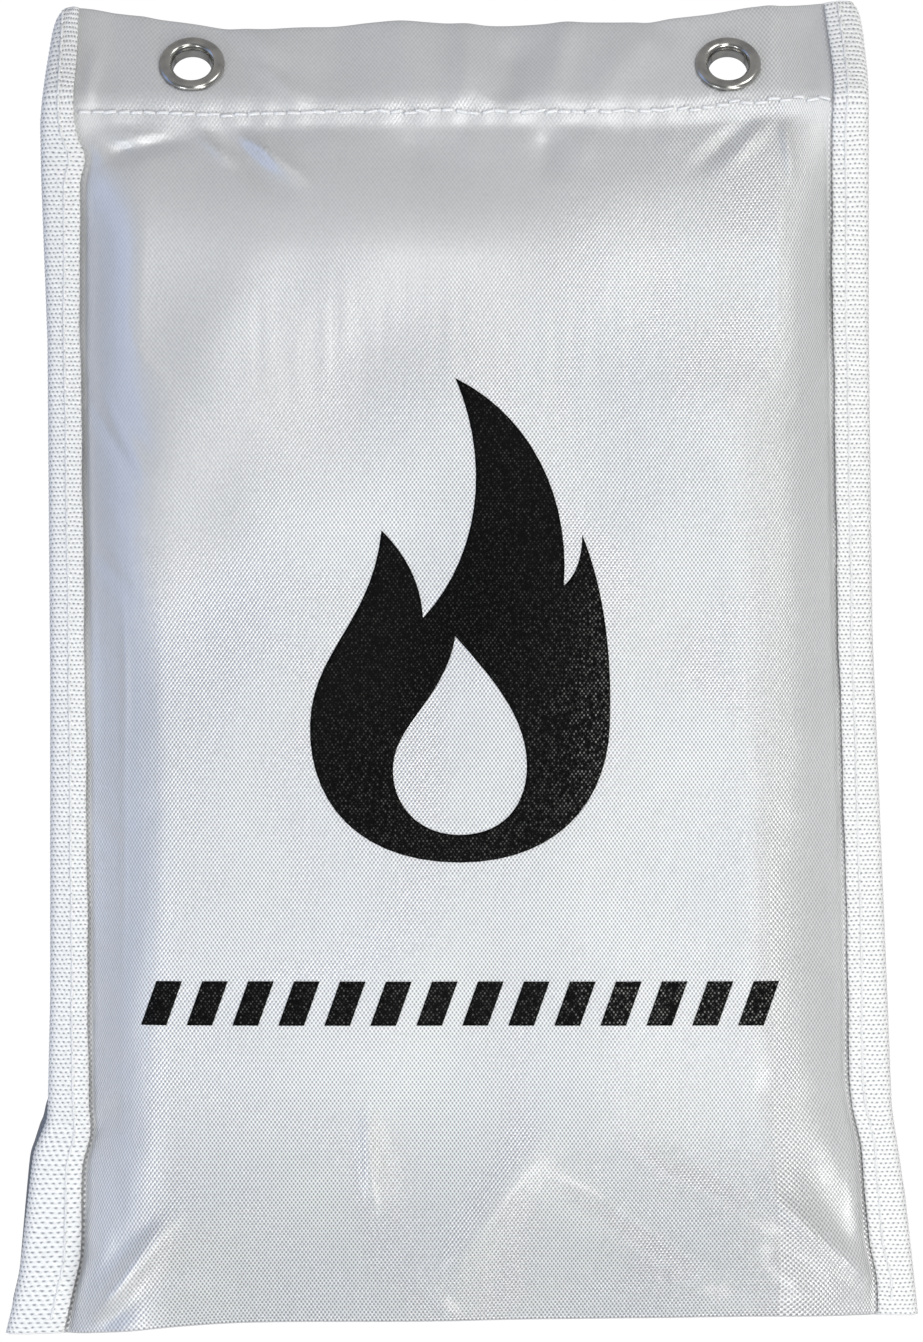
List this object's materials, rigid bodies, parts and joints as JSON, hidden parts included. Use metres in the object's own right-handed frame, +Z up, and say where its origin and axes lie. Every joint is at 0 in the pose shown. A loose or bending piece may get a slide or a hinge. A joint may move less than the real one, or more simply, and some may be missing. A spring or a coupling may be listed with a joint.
{
  "type": "fire blanket",
  "caption": "Folded fire blanket in a soft wall pouch, hung by eyelets in its header and pulled out downwards by tabs tucked up behind.",
  "frame": {"origin": "midway between the two hanging eyelets, in the header's middle plane", "axes": "+Z up along the pouch, +Y towards the wall behind it, +X to the right seen from the front"},
  "size_m": [0.198, 0.0299, 0.2845],
  "materials": {
    "coated_cloth": "silvery white coated woven cloth with a soft sheen",
    "binding_tape": "matt white ribbed tape",
    "nickel": "bright nickel plate",
    "sewing_thread": "white twisted polyester thread",
    "glass_fibre": "off-white woven glass-fibre cloth",
    "webbing": "dark woven webbing",
    "hook_and_loop": "dark hook-and-loop fabric"
  },
  "bodies": {
    "pouch": {"front_panel": "coated_cloth", "back_panel": "coated_cloth", "left_binding": "binding_tape", "right_binding": "binding_tape", "left_eyelet": "nickel", "right_eyelet": "nickel", "left_eyelet_washer": "nickel", "right_eyelet_washer": "nickel", "header_needle_thread": "sewing_thread", "header_bobbin_thread": "sewing_thread", "left_binding_needle_thread": "sewing_thread", "left_binding_bobbin_thread": "sewing_thread", "right_binding_needle_thread": "sewing_thread", "right_binding_bobbin_thread": "sewing_thread", "left_loop_patch": "hook_and_loop", "right_loop_patch": "hook_and_loop"},
    "blanket": {"folded_blanket": "glass_fibre", "left_tab_root": "webbing", "right_tab_root": "webbing"},
    "left_tab": {"left_pull_tab": "webbing", "left_hook_patch": "hook_and_loop"},
    "right_tab": {"right_pull_tab": "webbing", "right_hook_patch": "hook_and_loop"}
  },
  "joints": [
    {"name": "blanket_slide", "type": "slide", "parent": "pouch", "child": "blanket", "axis": [0, 0, -1], "range_m": [0, 0.25]},
    {"name": "left_tab_fold", "type": "hinge", "parent": "blanket", "child": "left_tab", "pos_m": [-0.052, 0.00935, -0.26933], "axis": [-1, 0, 0], "range_deg": [0, 175]},
    {"name": "right_tab_fold", "type": "hinge", "parent": "blanket", "child": "right_tab", "pos_m": [0.052, 0.00935, -0.26933], "axis": [-1, 0, 0], "range_deg": [0, 175]}
  ]
}
